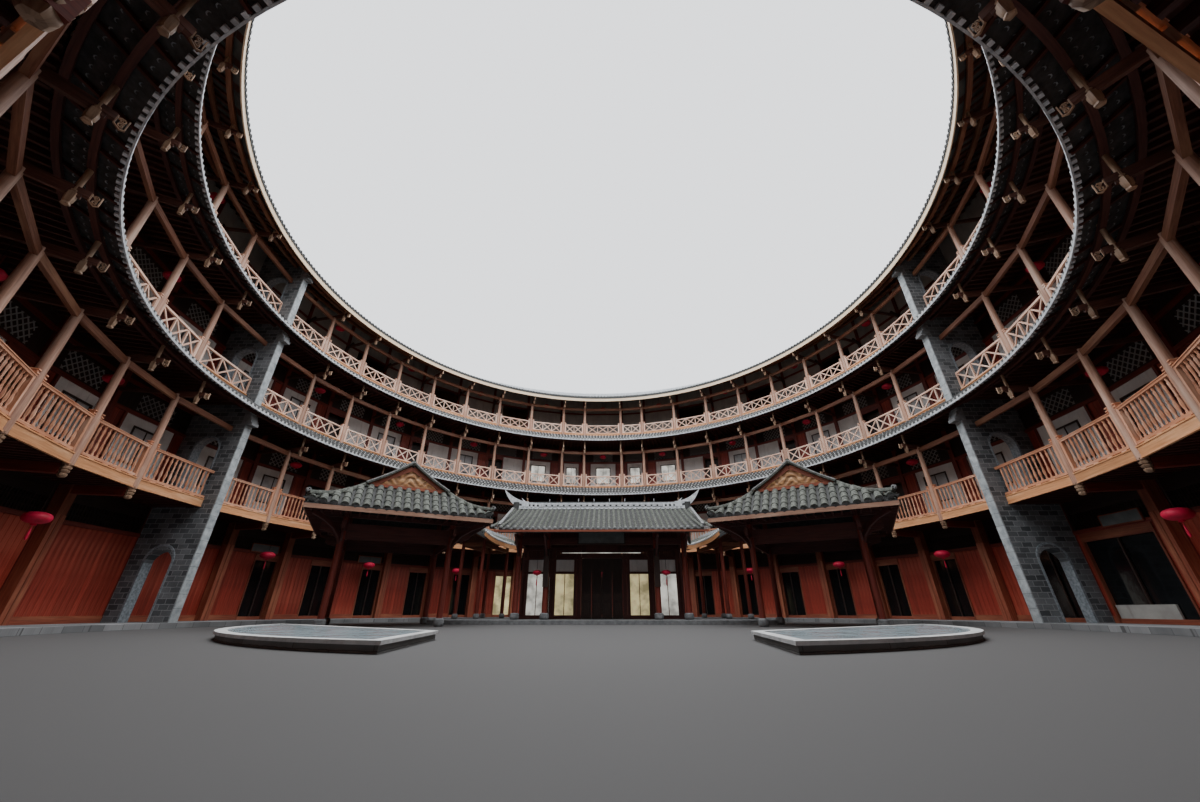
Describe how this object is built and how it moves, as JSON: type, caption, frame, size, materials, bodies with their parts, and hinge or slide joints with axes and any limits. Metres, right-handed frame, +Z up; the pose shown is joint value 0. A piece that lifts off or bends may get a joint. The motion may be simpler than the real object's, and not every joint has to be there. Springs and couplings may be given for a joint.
{
  "type": "tulou roundhouse (1:2 scale model)",
  "caption": "Round earth-walled ring house, 1:2 scale: tiled ring roofs, timber galleries, stone fire walls, and a courtyard hall with opening door leaves, pavilions and pools.",
  "frame": {"origin": "centre of the ring at courtyard level, where the building stands on the ground", "axes": "+Z up, +Y from the gate towards the hall, +X east, along the fire walls"},
  "size_m": [22.5, 22.5, 8.7868],
  "materials": {
    "grey_stone": "dressed grey stone",
    "dark_brick": "weathered dark grey blocks",
    "rammed_earth": "rammed earth, weathered",
    "red_timber": "dark red painted timber, worn",
    "pale_timber": "oiled red-brown timber",
    "floor_timber": "bare timber boards",
    "roof_tile": "matt grey clay tile",
    "ridge_tile": "pale lime and tile",
    "plaster": "white lime plaster on timber framing",
    "dark_timber": "dark stained timber"
  },
  "bodies": {
    "building": {"hall_floor": "grey_stone", "hall_porch_frame": "red_timber", "hall_rear_frame": "red_timber", "hall_walls": "red_timber", "hall_door_leaf_1": "dark_timber", "hall_door_leaf_4": "dark_timber", "hall_roof": "roof_tile", "hall_east_side_roof": "roof_tile", "hall_east_side_frame": "red_timber", "pavilion_east_frame": "red_timber", "pavilion_east_roof": "roof_tile", "pool_east": "grey_stone", "hall_west_side_roof": "roof_tile", "hall_west_side_frame": "red_timber", "pavilion_west_frame": "red_timber", "pavilion_west_roof": "roof_tile", "pool_west": "grey_stone", "ring_plinth": "grey_stone", "fire_wall_east": "dark_brick", "fire_wall_west": "dark_brick", "outer_wall_stone_base": "grey_stone", "outer_wall_north": "rammed_earth", "outer_wall_south": "rammed_earth", "room_wall_1_north": "red_timber", "room_wall_2_north": "plaster", "floor_2_north": "floor_timber", "gallery_2_north": "pale_timber", "railing_2_north": "pale_timber", "room_wall_3_north": "plaster", "floor_3_north": "floor_timber", "gallery_3_north": "pale_timber", "railing_3_north": "pale_timber", "room_wall_4_north": "plaster", "floor_4_north": "floor_timber", "gallery_4_north": "pale_timber", "railing_4_north": "pale_timber", "room_wall_1_south": "red_timber", "room_wall_2_south": "plaster", "floor_2_south": "floor_timber", "gallery_2_south": "pale_timber", "railing_2_south": "pale_timber", "room_wall_3_south": "plaster", "floor_3_south": "floor_timber", "gallery_3_south": "pale_timber", "railing_3_south": "pale_timber", "room_wall_4_south": "plaster", "floor_4_south": "floor_timber", "gallery_4_south": "pale_timber", "railing_4_south": "pale_timber", "skirt_roof_2": "roof_tile", "skirt_roof_3": "roof_tile", "main_roof_inner_slope": "roof_tile", "main_roof_outer_slope": "roof_tile", "main_roof_ridge": "ridge_tile"},
    "west_leaf": {"hall_door_leaf_2": "dark_timber"},
    "east_leaf": {"hall_door_leaf_3": "dark_timber"}
  },
  "joints": [
    {"name": "west_leaf_hinge", "type": "hinge", "parent": "building", "child": "west_leaf", "pos_m": [-0.233, 3.6, 0.1], "axis": [0, 0, 1], "range_deg": [0, 90]},
    {"name": "east_leaf_hinge", "type": "hinge", "parent": "building", "child": "east_leaf", "pos_m": [0.233, 3.6, 0.1], "axis": [0, 0, -1], "range_deg": [0, 90]}
  ]
}
